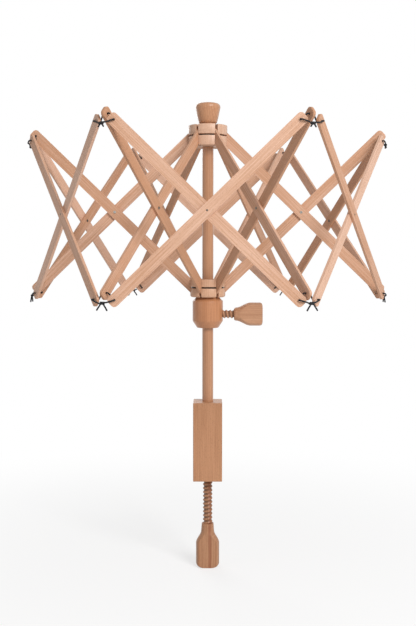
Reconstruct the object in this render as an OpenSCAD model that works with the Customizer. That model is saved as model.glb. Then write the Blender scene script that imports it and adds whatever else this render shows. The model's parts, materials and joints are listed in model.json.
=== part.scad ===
// Umbrella swift on a table clamp. Millimetres, +Z up. The origin lies on the post's axis,
// level with the table top, where the clamp's upper jaw rests.

/* [Fold] */
// Slope of every rib and slat in the open position shown, in degrees
rest_angle = 44; // [25:0.1:65]

/* [Ribs and slats] */
// Distance between the two end holes of a rib or slat
arm_len = 312; // [240:1:400]
// Width of a strip
strip_w = 15; // [12:0.5:17]
// Thickness of a strip
strip_t = 3.5; // [2.5:0.1:4.5]
// Wood beyond an end hole
end_over = 7.5; // [6:0.5:9]
// Radius of the rounded corners of an end
end_corner = 5; // [3:0.5:6]
// Air between two strips that cross
strip_gap = 0.1; // [0.05:0.05:0.4]
// Distance outwards from the line through the rib tips to the middle of a pair of slats
slat_out = 8; // [7.5:0.1:12]
// Drop of the slats' end holes below the rib tips' holes
slat_drop = 8; // [4:0.5:12]

/* [Cord ties] */
// Diameter of the cord
cord_d = 1.8; // [1:0.1:2.2]
// Diameter of the hole that a cord passes through
cord_hole_d = 2.8; // [2.6:0.1:4]
// Width of the knot
knot_d = 5; // [4:0.5:6]
// How far outside the rib tip's hole the knot lies, between the slats' ends
knot_out = 8.5; // [8.4:0.1:14]
// Air between the cord and the outer face of a slat where it turns in to the knot
turn_air = 0.6; // [0.5:0.1:2]
// How far past a slat's end hole the cord turns in
turn_past = 9.5; // [9:0.5:10.5]
// Drop of that turn below the hole
turn_drop = 2.8; // [1:0.2:4]
// Straight cord on each side of a hole, past the wood's surface
cord_reach = 1.2; // [0.8:0.1:2]
// Drop of the knot below the slats' end holes
knot_drop = 4; // [2:0.5:8]
// How far a loose end hangs below the knot
tail_drop = 9; // [4:0.5:14]
// How far a loose end spreads sideways
tail_spread = 8; // [3:0.5:12]
// How far a loose end stands out from the knot
tail_out = 0.8; // [0.4:0.1:2]
// Drop and spread of an upper tie's loose ends, as a share of a lower tie's
top_tail_share = 0.5; // [0.4:0.1:1]

/* [Rivets] */
// Diameter of a rivet's pin
rivet_d = 2.2; // [1.6:0.1:3]
// Radial air round a rivet's pin
rivet_air = 0.05; // [0.02:0.01:0.1]
// Diameter of a rivet's head
rivet_head_d = 4; // [3.4:0.1:7]
// Height of a rivet's head
rivet_head_h = 0.7; // [0.5:0.1:1.5]

/* [Hubs] */
// Radius at which the ribs are hinged in both hubs
hinge_r = 22; // [21.5:0.1:23]
// Diameter of the wire that hinges them
wire_d = 1.8; // [1.2:0.1:2]
// Diameter of the hole for the wire in a rib
wire_hole_d = 2.8; // [2.6:0.1:3.4]
// Air above and below the wire in the hub's groove
wire_air = 0.2; // [0.1:0.05:0.5]
// Diameter of the upper hub
upper_hub_d = 55.6; // [50:0.2:64]
// Height of the upper hub
upper_hub_h = 29.8; // [26:0.2:40]
// Height of the wire above the upper hub's underside
upper_wire_up = 15; // [8:0.5:20]
// Diameter of the lower hub
lower_hub_d = 50.8; // [49:0.2:60]
// Height of the lower hub
lower_hub_h = 26; // [20:0.5:32]
// Height of the wire above the lower hub's underside
lower_wire_up = 14; // [8:0.5:16]
// Air on each side of a rib in its slot
slot_air = 0.3; // [0.2:0.05:0.6]
// Bevel round the upper hub's underside
upper_hub_bevel = 1.6; // [0.5:0.1:3]
// Rounding of the lower hub's underside
lower_hub_round = 3; // [1:0.1:4]

/* [Post and finial] */
// Diameter of the post
post_d = 16; // [14:0.1:17]
// Height of the shoulder under the upper hub, above the table top
shoulder_z = 407.1; // [395:0.1:480]
// Diameter of the spigot that the upper hub turns on
spigot_d = 12; // [8:0.1:13]
// Length of the spigot inside the finial
spigot_in = 18; // [8:1:24]
// Depth of the post in the clamp block
post_in = 30; // [15:1:34]
// Room for glue under the post's foot
socket_room = 1; // [0.5:0.5:1.5]
// Radial air of a glued joint
glue_air = 0.02; // [0.01:0.01:0.05]
// Radial air of what turns or slides on the post
run_air = 0.1; // [0.05:0.01:0.3]
// Air between faces that turn on each other
face_air = 0.2; // [0.1:0.05:0.5]
// Greatest diameter of the finial
finial_d = 35.8; // [26:0.2:44]
// Height of the finial
finial_h = 32.5; // [28:0.1:44]
// Diameter of the finial near its foot
finial_foot_d = 27.4; // [20:0.2:30]
// Height of the bevel at the finial's foot
finial_foot_h = 5.5; // [1:0.5:6]
// Width of the bevel at the finial's foot
finial_foot_w = 2; // [0.5:0.5:4]
// Height of the finial's rounded crown
finial_crown_h = 5.5; // [4:0.5:12]
// Width of the finial's rounded crown
finial_crown_w = 4.5; // [3:0.5:9]
// Rise of the finial's top inside the crown
finial_dome_h = 1; // [0.5:0.1:2]

/* [Collar and thumb screw] */
// Diameter of the collar
collar_d = 44; // [36:0.2:50]
// Height of the collar
collar_h = 44.2; // [38:0.2:60]
// Bevel round the collar's top
collar_top_bevel = 5.5; // [2:0.5:8]
// Height of the bevel at the collar's foot
collar_foot_bevel_h = 10; // [4:0.5:12]
// Width of the bevel at the collar's foot
collar_foot_bevel_w = 6.5; // [2:0.5:8]
// Depth of the thumb screw's axis below the collar's top
thumb_drop = 24.5; // [18:0.5:26]
// Outer diameter of the thumb screw's thread
thumb_thread_d = 12.4; // [9:0.1:14]
// Pitch of the thumb screw's thread
thumb_pitch = 5.4; // [4:0.1:6]
// Distance from the post's axis to the thumb screw's knob
thumb_knob_x = 38.2; // [34:0.1:46]
// Length of the thumb screw's knob
thumb_knob_len = 41; // [34:0.5:50]
// Width of the thumb screw's knob
thumb_knob_w = 33.6; // [28:0.2:40]
// Where the thumb screw's knob starts to flare, from its neck
thumb_flare_start = 2; // [1:0.5:8]
// Where the flare ends
thumb_flare_end = 24; // [16:0.5:28]
// Width of the rounding at the end of the thumb screw's knob
thumb_end_w = 3.5; // [1:0.5:6]
// Length of that rounding
thumb_end_h = 4; // [1:0.5:6]
// Air between the post and the tip of the thumb screw
grip_air = 0.05; // [0.02:0.01:0.1]

/* [Clamp block] */
// Width of the block
block_w = 42; // [38:0.5:60]
// Depth of the block, front to back
block_depth = 42; // [40:0.5:60]
// Thickness of the upper jaw
upper_jaw = 39.5; // [36:0.5:50]
// Height of the throat that takes the table
throat_h = 46; // [30:1:60]
// Thickness of the lower jaw
lower_jaw = 29; // [20:0.5:40]
// Thickness of the spine at the front
spine_t = 14; // [11:0.5:16]
// Bevel along the block's edges
block_bevel = 1; // [0.5:0.1:2]

/* [Clamp screw] */
// Thickness of the table that the clamp screw presses on
table_t = 36; // [20:1:42]
// Outer diameter of the clamp screw's thread
clamp_thread_d = 14; // [10:0.1:16]
// Pitch of the clamp screw's thread
clamp_pitch = 5.8; // [4.5:0.1:7]
// Length of the clamp screw from its tip to its knob
clamp_thread_len = 107; // [80:1:140]
// Length of the clamp screw's knob
clamp_knob_len = 65.5; // [50:0.5:80]
// Width of the clamp screw's knob
clamp_knob_w = 34.2; // [28:0.2:40]
// Where the clamp screw's knob starts to flare, from its neck
clamp_flare_start = 11; // [4:0.5:14]
// Where the flare ends
clamp_flare_end = 30; // [18:0.5:34]
// Width of the rounding at the end of the clamp screw's knob
clamp_end_w = 6; // [1:0.5:8]
// Length of that rounding
clamp_end_h = 6.5; // [1:0.5:10]

/* [Screws] */
// Depth of both screws' threads
thread_depth = 1.7; // [0.8:0.1:2]
// Radial air round a screw's thread
screw_air = 0.3; // [0.25:0.05:0.6]
// Diameter of a knob's neck
neck_d = 17.4; // [16:0.2:22]
// How much the neck's radius grows up to the flare
neck_swell = 0.8; // [0:0.1:2]
// Thickness of a knob between its two flats
knob_flat_t = 20; // [16:0.5:26]

/* [Hidden] */
$fn = 64;
wood_pale = [0.84, 0.67, 0.53];
wood_warm = [0.73, 0.53, 0.39];
black = [0.08, 0.08, 0.09];
steel = [0.55, 0.52, 0.50];
sectors = 6;
sector_angle = 360 / sectors;
cell_turn = sector_angle / 2;
strip_pitch = strip_t + strip_gap;
rim_r = hinge_r + arm_len * cos(rest_angle);
fold_h = arm_len * sin(rest_angle);
slat_shift = hinge_r / 2;
upper_hub_z = shoulder_z + face_air;
upper_wire_z = upper_hub_z + upper_wire_up;
lower_wire_z = upper_wire_z - fold_h;
lower_hub_z = lower_wire_z - lower_wire_up;
collar_top_z = lower_hub_z - face_air;
thumb_z = collar_top_z - thumb_drop;
finial_z = upper_hub_z + upper_hub_h + face_air;
ring_r = norm([hinge_r, strip_pitch / 2]);
slot_w = strip_t + 2 * slot_air;
end_reach = norm([end_over - end_corner, strip_w / 2 - end_corner]) + end_corner;
slot_floor_r = hinge_r - end_reach - slot_air;
past = 1;
thread_sides = 20;
thread_lead = 1.2;
screw_embed = 4;
clamp_y = spine_t / 2;
cord_sides = 6;

function numbered(name) = [for (i = [1:sectors]) str(name, i)];

// The slats of a cell lie in two layers, and which of them is outermost alternates
function rise_layer(cell) = (cell + sectors) % 2 == 0 ? 1 : -1;
function rise_out(cell) = slat_out + rise_layer(cell) * strip_pitch / 2;
function fall_out(cell) = slat_out - rise_layer(cell) * strip_pitch / 2;

// A strip along +X from its first hole, as thick along Y as the wood, centred on Y
module strip(first_hole_d, last_hole_d) {
    straight = [arm_len + 2 * (end_over - end_corner), strip_w - 2 * end_corner];
    difference() {
        translate([arm_len / 2, 0, 0])
            rotate([90, 0, 0])
                linear_extrude(strip_t, center = true)
                    offset(r = end_corner)
                        square(straight, center = true);
        strip_hole(0, first_hole_d);
        strip_hole(arm_len / 2, rivet_d + 2 * rivet_air);
        strip_hole(arm_len, last_hole_d);
    }
}

module strip_hole(x, d) {
    translate([x, 0, 0])
        rotate([90, 0, 0])
            cylinder(d = d, h = strip_t + 2 * past, center = true);
}

// Rib from the upper hub down to the lower rim, on the clockwise side of its sector
module down_rib(i) {
    color(wood_pale)
        rotate([0, 0, i * sector_angle])
            translate([hinge_r, -strip_pitch / 2, upper_wire_z])
                rotate([0, rest_angle, 0])
                    strip(wire_hole_d, cord_hole_d);
}

// Rib from the lower hub up to the upper rim, on the other side of the down rib
module up_rib(i) {
    color(wood_pale)
        rotate([0, 0, i * sector_angle])
            translate([hinge_r, strip_pitch / 2, lower_wire_z])
                rotate([0, -rest_angle, 0])
                    strip(wire_hole_d, cord_hole_d);
}

// Places a slat's top hole: side is -1 at the left and 1 at the right, seen from outside
module at_slat_top(cell, side, out) {
    half_chord = rim_r / 2 - slat_shift;
    rotate([0, 0, cell * sector_angle + cell_turn])
        translate([rim_r * cos(cell_turn) + out, side * half_chord, upper_wire_z - slat_drop])
            children();
}

module rise_slat(cell) {
    color(wood_pale)
        at_slat_top(cell, 1, rise_out(cell))
            rotate([rest_angle, 0, 0])
                rotate([0, 0, -90])
                    strip(cord_hole_d, cord_hole_d);
}

module fall_slat(cell) {
    color(wood_pale)
        at_slat_top(cell, -1, fall_out(cell))
            rotate([-rest_angle, 0, 0])
                rotate([0, 0, 90])
                    strip(cord_hole_d, cord_hole_d);
}

// A rivet along Z through two strips, with a low domed head at each end
module rivet() {
    grip = strip_pitch + strip_gap / 2;
    foot = grip + rivet_head_h / 3;
    top = grip + rivet_head_h;
    crown_r = rivet_head_d * 0.3;
    color(steel)
        rotate_extrude()
            polygon([
                [0, -top], [crown_r, -top], [rivet_head_d / 2, -foot],
                [rivet_head_d / 2, -grip], [rivet_d / 2, -grip], [rivet_d / 2, grip],
                [rivet_head_d / 2, grip], [rivet_head_d / 2, foot],
                [crown_r, top], [0, top]
            ]);
}

module rib_rivet(i) {
    rotate([0, 0, i * sector_angle])
        translate([(hinge_r + rim_r) / 2, 0, upper_wire_z - fold_h / 2])
            rotate([90, 0, 0])
                rivet();
}

module slat_rivet(cell) {
    rotate([0, 0, cell * sector_angle + cell_turn])
        translate([rim_r * cos(cell_turn) + slat_out, 0,
                   upper_wire_z - slat_drop - fold_h / 2])
            rotate([0, 90, 0])
                rivet();
}

// A tube along a list of points: rings of six points square to the path
function unit(v) = v / norm(v);
function heading(path, i) =
    unit(path[min(i + 1, len(path) - 1)] - path[max(i - 1, 0)]);
function square_to(v, way) = unit(v - (v * way) * way);
function ring_points(centre, way, side, r, sides) =
    [for (j = [0:sides - 1])
        centre + r * cos(360 * j / sides) * side + r * sin(360 * j / sides) * cross(way, side)];
function tube_points(path, start_side, r, sides) =
    [for (i = 0, side = square_to(start_side, heading(path, 0));
          i < len(path);
          i = i + 1,
          side = i < len(path) ? square_to(side, heading(path, i)) : side)
        each ring_points(path[i], heading(path, i), side, r, sides)];
function tube_faces(rings, sides) = concat(
    [[for (j = [0:sides - 1]) j]],
    [for (i = [0:rings - 2], j = [0:sides - 1])
        [i * sides + j, (i + 1) * sides + j, (i + 1) * sides + (j + 1) % sides]],
    [for (i = [0:rings - 2], j = [0:sides - 1])
        [i * sides + j, (i + 1) * sides + (j + 1) % sides, i * sides + (j + 1) % sides]],
    [[for (j = [sides - 1:-1:0]) (rings - 1) * sides + j]]
);
// Cuts each corner of a path once, and keeps its ends
function eased(path) = concat(
    [path[0]],
    [for (i = [0:len(path) - 2])
        each [0.75 * path[i] + 0.25 * path[i + 1], 0.25 * path[i] + 0.75 * path[i + 1]]],
    [path[len(path) - 1]]
);
module cord(path, start_side) {
    soft = eased(path);
    polyhedron(
        points = tube_points(soft, start_side, cord_d / 2, cord_sides),
        faces = tube_faces(len(soft), cord_sides),
        convexity = 8
    );
}

// A place by a slat's end, seen from the rib tip's hole: outwards, sideways, upwards.
// out is its distance from the rib tips' plane, and the rest is past and below the end hole.
function by_slat(side, out, beyond = 0, below = 0) =
    [out * cos(cell_turn) - (slat_shift - beyond) * sin(cell_turn),
     side * (out * sin(cell_turn) + (slat_shift - beyond) * cos(cell_turn)),
     -slat_drop - below];
function slat_way(side) = [cos(cell_turn), side * sin(cell_turn), 0];

// A cord through the tip of a rib and the ends of two slats, knotted between them.
// rib_y is the middle of the rib, and the outs are the two slats' distances outwards.
module tie(rib_y, left_out, right_out, tail_share = 1) {
    reach = strip_t + cord_reach;
    turn_out = strip_t / 2 + cord_d / 2 + turn_air;
    knot = [knot_out, 0, -slat_drop - knot_drop];
    left = by_slat(-1, left_out);
    right = by_slat(1, right_out);
    in_knot = knot_d / 8;
    bend = [tail_out, tail_share * tail_spread / 3, -tail_share * tail_drop / 4];
    end = [tail_out, tail_share * tail_spread, -tail_share * tail_drop];
    color(black) {
        cord([
            knot + [0, -in_knot, 0],
            by_slat(-1, left_out + turn_out, turn_past, turn_drop),
            left + reach * slat_way(-1),
            left - reach * slat_way(-1),
            [0, rib_y - reach, 0],
            [0, rib_y + reach, 0],
            right - reach * slat_way(1),
            right + reach * slat_way(1),
            by_slat(1, right_out + turn_out, turn_past, turn_drop),
            knot + [0, in_knot, 0]
        ], [0, 0, 1]);
        cord([
            for (way = [end, bend]) knot + [way.x, -way.y, way.z],
            knot + [tail_out / 2, 0, 0],
            knot + bend,
            knot + end
        ], [1, 0, 0]);
        translate(knot)
            sphere(d = knot_d, $fn = 10);
    }
}

module top_tie(i) {
    rotate([0, 0, i * sector_angle])
        translate([rim_r, 0, upper_wire_z])
            tie(strip_pitch / 2, rise_out(i - 1), fall_out(i), top_tail_share);
}

module bottom_tie(i) {
    rotate([0, 0, i * sector_angle])
        translate([rim_r, 0, lower_wire_z])
            tie(-strip_pitch / 2, fall_out(i - 1), rise_out(i));
}

// Slots for the ribs and the groove for the wire, cut from the outside of a hub
module hub_cuts(hub_d, hub_h, wire_up, slot_side) {
    for (i = [0:sectors - 1])
        rotate([0, 0, i * sector_angle])
            translate([slot_floor_r, slot_side * strip_pitch / 2 - slot_w / 2, -past])
                cube([hub_d, slot_w, hub_h + 2 * past]);
    groove_h = wire_d + 2 * wire_air;
    translate([0, 0, wire_up - groove_h / 2])
        difference() {
            cylinder(r = hub_d, h = groove_h);
            translate([0, 0, -past])
                cylinder(r = ring_r - wire_d / 2 - wire_air, h = groove_h + 2 * past);
        }
}

module upper_hub() {
    color(wood_pale)
        translate([0, 0, upper_hub_z])
            difference() {
                rotate_extrude()
                    polygon([
                        [spigot_d / 2 + run_air, 0], [upper_hub_d / 2 - upper_hub_bevel, 0],
                        [upper_hub_d / 2, upper_hub_bevel], [upper_hub_d / 2, upper_hub_h],
                        [spigot_d / 2 + run_air, upper_hub_h]
                    ]);
                hub_cuts(upper_hub_d, upper_hub_h, upper_wire_up, -1);
            }
}

module lower_hub() {
    bore_r = post_d / 2 + run_air;
    outer_r = lower_hub_d / 2;
    color(wood_pale)
        translate([0, 0, lower_hub_z])
            difference() {
                rotate_extrude() {
                    translate([bore_r, 0])
                        square([outer_r - lower_hub_round - bore_r, lower_hub_h]);
                    translate([bore_r, lower_hub_round])
                        square([outer_r - bore_r, lower_hub_h - lower_hub_round]);
                    translate([outer_r - lower_hub_round, lower_hub_round])
                        circle(r = lower_hub_round);
                }
                hub_cuts(lower_hub_d, lower_hub_h, lower_wire_up, 1);
            }
}

module wire_ring(z) {
    color(black)
        translate([0, 0, z])
            rotate_extrude()
                translate([ring_r, 0])
                    circle(d = wire_d, $fn = 24);
}

module upper_hub_wire() {
    wire_ring(upper_wire_z);
}

module lower_hub_wire() {
    wire_ring(lower_wire_z);
}

module post() {
    color(wood_warm) {
        translate([0, 0, upper_jaw - post_in])
            cylinder(d = post_d, h = shoulder_z - upper_jaw + post_in);
        translate([0, 0, shoulder_z - past])
            cylinder(d = spigot_d, h = finial_z + spigot_in - shoulder_z + past);
    }
}

module finial() {
    foot_r = finial_foot_d / 2;
    top_r = finial_d / 2;
    crown_z = finial_h - finial_dome_h - finial_crown_h;
    color(wood_warm)
        translate([0, 0, finial_z])
            difference() {
                rotate_extrude()
                    polygon(concat(
                        [[0, 0], [foot_r - finial_foot_w, 0], [foot_r, finial_foot_h]],
                        [for (a = [0:15:90])
                            [top_r - finial_crown_w * (1 - cos(a)),
                             crown_z + finial_crown_h * sin(a)]],
                        [[0, finial_h]]
                    ));
                translate([0, 0, -past])
                    cylinder(r = spigot_d / 2 + glue_air, h = spigot_in + past + face_air);
            }
}

module collar() {
    outer_r = collar_d / 2;
    bore_r = post_d / 2 + run_air;
    color(wood_warm)
        difference() {
            translate([0, 0, collar_top_z - collar_h])
                rotate_extrude()
                    polygon([
                        [bore_r, 0], [outer_r - collar_foot_bevel_w, 0],
                        [outer_r, collar_foot_bevel_h], [outer_r, collar_h - collar_top_bevel],
                        [outer_r - collar_top_bevel, collar_h], [bore_r, collar_h]
                    ]);
            translate([0, 0, thumb_z])
                rotate([0, 90, 0])
                    cylinder(r = thumb_thread_d / 2 + screw_air, h = collar_d);
        }
}

// A wooden screw's rod along +Z: a tip, one helical thread between its crest and root
// lines, and a plain end. turns is a whole number.
function helix(r, n, z, pitch) =
    [r * cos(360 * n / thread_sides), r * sin(360 * n / thread_sides),
     z + pitch * n / thread_sides];
function fade(n, count) = min(1, 2 * n / thread_sides, 2 * (count - n) / thread_sides);
function level_ring(r, z) =
    [for (i = [0:thread_sides - 1])
        [r * cos(360 * i / thread_sides), r * sin(360 * i / thread_sides), z]];
function two(a, b, c, d) = [[a, b, c], [a, c, d]];
module threaded_rod(crest_r, pitch, length) {
    root_r = crest_r - thread_depth;
    tip_bevel = thread_depth / 2;
    turns = floor((length - 2 * thread_lead) / pitch);
    start_z = length - thread_lead - turns * pitch;
    count = turns * thread_sides;
    valleys = count - thread_sides;
    g = count + 1;
    t = g + valleys + 1;
    d = t + thread_sides;
    e = d + thread_sides;
    crests = [for (n = [0:count])
        helix(root_r + thread_depth * fade(n, count), n, start_z, pitch)];
    roots = [for (n = [0:valleys]) helix(root_r, n, start_z + pitch / 2, pitch)];
    faces = concat(
        [[for (i = [0:thread_sides - 1]) t + i]],
        [for (i = [0:thread_sides - 1])
            each two(t + i, d + i, d + (i + 1) % thread_sides, t + (i + 1) % thread_sides)],
        [for (i = [0:thread_sides - 1])
            each two(d + i, i, i + 1, d + (i + 1) % thread_sides)],
        [[d, thread_sides, 0], [0, thread_sides, g]],
        [for (n = [0:valleys - 1]) each two(n, g + n, g + n + 1, n + 1)],
        [for (n = [0:valleys - 1])
            each two(g + n, n + thread_sides, n + thread_sides + 1, g + n + 1)],
        [for (i = [0:thread_sides - 1])
            each two(valleys + i, e + i, e + (i + 1) % thread_sides, valleys + i + 1)],
        [[valleys, g + valleys, count], [valleys, count, e]],
        [[for (i = [thread_sides - 1:-1:0]) e + i]]
    );
    polyhedron(
        points = concat(crests, roots, level_ring(root_r - tip_bevel, 0),
                        level_ring(root_r, tip_bevel), level_ring(root_r, length)),
        faces = faces,
        convexity = 10
    );
}

// A turned knob along +Z from its neck, with two flats square to X
module knob(length, width, flare_start, flare_end, end_w, end_h) {
    neck_r = neck_d / 2;
    flare_r = neck_r + neck_swell;
    full_r = width / 2;
    flare = flare_end - flare_start;
    intersection() {
        rotate_extrude()
            polygon(concat(
                [[0, 0], [neck_r, 0]],
                [for (s = [0:0.125:1])
                    [flare_r + (full_r - flare_r) * (1 - cos(180 * s)) / 2,
                     flare_start + flare * s]],
                [for (a = [0:15:90])
                    [full_r - end_w * (1 - cos(a)), length - end_h * (1 - sin(a))]],
                [[0, length]]
            ));
        translate([-knob_flat_t / 2, -width, -past])
            cube([knob_flat_t, 2 * width, length + 2 * past]);
    }
}

module thumb_screw() {
    tip_x = post_d / 2 + grip_air;
    rod_len = thumb_knob_x + screw_embed - tip_x;
    color(wood_warm)
        translate([tip_x, 0, thumb_z])
            rotate([0, 90, 0])
                rotate([0, 0, 90]) {
                    threaded_rod(thumb_thread_d / 2, thumb_pitch, rod_len);
                    translate([0, 0, thumb_knob_x - tip_x])
                        knob(thumb_knob_len, thumb_knob_w, thumb_flare_start, thumb_flare_end,
                             thumb_end_w, thumb_end_h);
                }
}

module clamp_screw() {
    color(wood_warm)
        translate([0, clamp_y, -table_t])
            rotate([180, 0, 90]) {
                threaded_rod(clamp_thread_d / 2, clamp_pitch, clamp_thread_len + screw_embed);
                translate([0, 0, clamp_thread_len])
                    knob(clamp_knob_len, clamp_knob_w, clamp_flare_start, clamp_flare_end,
                         clamp_end_w, clamp_end_h);
            }
}

module clamp_block() {
    bottom_z = -throat_h - lower_jaw;
    front_y = -block_depth / 2;
    height = upper_jaw - bottom_z;
    color(wood_warm)
        difference() {
            translate([0, 0, bottom_z])
                linear_extrude(height)
                    bevelled(block_w, block_depth, block_bevel);
            translate([-block_w, front_y + spine_t, -throat_h])
                cube([2 * block_w, block_depth, throat_h]);
            translate([0, 0, upper_jaw - post_in - socket_room])
                cylinder(r = post_d / 2 + glue_air, h = post_in + socket_room + past);
            translate([0, clamp_y, bottom_z - past])
                cylinder(r = clamp_thread_d / 2 + screw_air, h = lower_jaw + 2 * past);
        }
}

module bevelled(w, depth, bevel) {
    polygon([
        [-w / 2 + bevel, -depth / 2], [w / 2 - bevel, -depth / 2],
        [w / 2, -depth / 2 + bevel], [w / 2, depth / 2 - bevel],
        [w / 2 - bevel, depth / 2], [-w / 2 + bevel, depth / 2],
        [-w / 2, depth / 2 - bevel], [-w / 2, -depth / 2 + bevel]
    ]);
}

clamp_block();
post();
finial();
upper_hub();
upper_hub_wire();
lower_hub();
lower_hub_wire();
collar();
thumb_screw();
clamp_screw();
for (i = [0:sectors - 1]) {
    down_rib(i);
    up_rib(i);
    rise_slat(i);
    fall_slat(i);
    rib_rivet(i);
    slat_rivet(i);
    top_tie(i);
    bottom_tie(i);
}
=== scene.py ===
import json
from math import cos, pi, radians, sin, sqrt, tau
from random import Random

import bmesh
import bpy
from mathutils import Matrix, Vector


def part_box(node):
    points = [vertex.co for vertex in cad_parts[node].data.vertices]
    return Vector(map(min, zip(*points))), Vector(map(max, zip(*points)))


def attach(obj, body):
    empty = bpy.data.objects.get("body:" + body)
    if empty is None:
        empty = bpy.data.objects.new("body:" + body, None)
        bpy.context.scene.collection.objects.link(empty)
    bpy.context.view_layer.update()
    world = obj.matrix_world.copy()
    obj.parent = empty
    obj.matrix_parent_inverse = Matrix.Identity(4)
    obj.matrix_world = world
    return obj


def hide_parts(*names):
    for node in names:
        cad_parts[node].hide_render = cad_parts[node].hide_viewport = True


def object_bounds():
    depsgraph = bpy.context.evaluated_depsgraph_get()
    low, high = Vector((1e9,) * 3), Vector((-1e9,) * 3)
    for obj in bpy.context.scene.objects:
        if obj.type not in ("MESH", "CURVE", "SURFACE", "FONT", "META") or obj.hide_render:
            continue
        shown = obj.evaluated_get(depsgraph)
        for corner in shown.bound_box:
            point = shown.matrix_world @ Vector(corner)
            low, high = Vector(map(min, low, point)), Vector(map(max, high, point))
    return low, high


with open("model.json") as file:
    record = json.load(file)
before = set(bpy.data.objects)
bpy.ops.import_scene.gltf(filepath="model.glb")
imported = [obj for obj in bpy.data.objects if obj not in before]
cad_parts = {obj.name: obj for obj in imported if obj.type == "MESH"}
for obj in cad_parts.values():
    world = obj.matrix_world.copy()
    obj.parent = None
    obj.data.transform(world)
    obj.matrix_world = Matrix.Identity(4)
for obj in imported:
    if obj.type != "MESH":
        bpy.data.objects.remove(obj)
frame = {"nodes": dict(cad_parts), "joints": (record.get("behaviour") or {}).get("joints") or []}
cad_low, cad_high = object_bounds()
bpy.ops.object.select_all(action="DESELECT")

# Camera
# A long lens 1.35 m in front of the post, a little above the lower hub, looking slightly
# down.
looks_down, leans, looks_left = radians(3.50), radians(-0.05), radians(0.24)
lens = bpy.data.cameras.new("camera")
lens.sensor_width = 36
lens.lens = 53.54
camera = bpy.data.objects.new("camera", lens)
camera.location = (0.0059, -1.350, 0.2509)
camera.rotation_euler = (radians(90) - looks_down, leans, looks_left)
bpy.context.scene.collection.objects.link(camera)
bpy.context.scene.camera = camera

# Clamp block
# A block of oiled beech that hangs over the table's edge: its spine in front, an upper jaw
# that rests on the table, and a lower jaw that the clamp screw runs through. It is sawn to a
# C, bored for the post and the screw, and its edges are eased with sandpaper.
MM = 0.001
block_low, block_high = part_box("clamp_block")
spine_depth = 14 * MM
throat_height = 46 * MM
block_ease = 0.9 * MM
screw_hole_d = 14.6 * MM
screw_y = 7 * MM
post_d = 16 * MM
post_socket = 31 * MM


def near(value, wanted):
    return abs(value - wanted) < MM / 10


def choose(piece):
    """Selects this piece alone, and makes it the active one."""
    bpy.ops.object.select_all(action="DESELECT")
    piece.select_set(True)
    bpy.context.view_layer.objects.active = piece


def fix_place():
    """Puts the active piece's place, turn and scale into its mesh."""
    bpy.ops.object.transform_apply(location=True, rotation=True, scale=True)


def take_all():
    bpy.ops.mesh.select_all(action="SELECT")


def edit():
    """Opens the active piece's mesh, with all of it selected."""
    bpy.ops.object.mode_set(mode="EDIT")
    take_all()


def done():
    bpy.ops.object.mode_set(mode="OBJECT")
    return bpy.context.object


def pick(kind, test):
    """Selects the faces or edges of the piece in edit mode that pass the test."""
    bpy.ops.mesh.select_mode(type={"faces": "FACE", "edges": "EDGE"}[kind])
    bpy.ops.mesh.select_all(action="DESELECT")
    piece = bpy.context.object
    mesh = bmesh.from_edit_mesh(piece.data)
    mesh.normal_update()
    for part in getattr(mesh, kind):
        if test(part):
            part.select_set(True)
    mesh.select_flush_mode()
    bmesh.update_edit_mesh(piece.data)


def combine(piece, other, operation):
    """Takes the other's shape out of the piece or adds it on, and deletes the other."""
    change = piece.modifiers.new("combined", "BOOLEAN")
    change.operation = operation
    change.solver = "EXACT"
    change.object = other
    choose(piece)
    bpy.ops.object.modifier_apply(modifier="combined")
    bpy.data.objects.remove(other)


def drill(piece, diameter, start, end, sides=48):
    """Bores a round hole from start to end."""
    way = Vector(end) - Vector(start)
    bpy.ops.mesh.primitive_cylinder_add(
        vertices=sides, radius=diameter / 2, depth=way.length,
        location=(Vector(start) + Vector(end)) / 2, rotation=way.to_track_quat("Z", "Y").to_euler())
    combine(piece, bpy.context.object, "DIFFERENCE")


def ease(piece, width, segments, angle):
    """Rounds every edge sharper than the angle, in degrees."""
    bevel = piece.modifiers.new("eased", "BEVEL")
    bevel.width = width
    bevel.segments = segments
    bevel.limit_method = "ANGLE"
    bevel.angle_limit = radians(angle)
    bevel.use_clamp_overlap = True
    choose(piece)
    bpy.ops.object.modifier_apply(modifier="eased")


def smooth(piece):
    """Smooths the shading of the active piece, and leaves its broad flat faces flat."""
    sharp_angle, broad_face = radians(35), 60 * MM ** 2
    bpy.ops.object.shade_smooth_by_angle(angle=sharp_angle)
    for face in piece.data.polygons:
        if face.area > broad_face:
            face.use_smooth = False


def hang(piece, name, body, node):
    """Names a finished piece and hangs it on its body, in the node's stead."""
    piece.name = name
    piece.data.name = name
    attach(piece, body)
    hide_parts(node)


def settle(piece, name, body, node, finish):
    """Finishes a piece made in its place, and hangs it on its body."""
    choose(piece)
    fix_place()
    smooth(piece)
    piece.data.materials.append(finish)
    hang(piece, name, body, node)


def give(tree, entry, value):
    """Gives a node's input a plain value, or links it to another node's output."""
    if isinstance(value, bpy.types.NodeSocket):
        tree.links.new(value, entry)
    else:
        entry.default_value = value


def feed(tree, node, inputs):
    """Gives a node's inputs their values, by name or by number."""
    for place, value in inputs.items():
        give(tree, node.inputs[place], value)


def add_node(tree, kind, inputs, **settings):
    """A shader node with its settings and the values of its inputs."""
    node = tree.nodes.new(f"ShaderNode{kind}")
    for setting, value in settings.items():
        setattr(node, setting, value)
    feed(tree, node, inputs)
    return node


def work_out(tree, operation, *values):
    """The answer to one step of arithmetic. Each value is a socket or a number."""
    return add_node(tree, "Math", dict(enumerate(values)), operation=operation).outputs[0]


def work_out_vector(tree, operation, *values):
    """The same for vectors. A length or a dot product comes out as a number."""
    outputs = add_node(tree, "VectorMath", dict(enumerate(values)), operation=operation).outputs
    return outputs["Value" if operation in ("LENGTH", "DOT_PRODUCT") else "Vector"]


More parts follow.
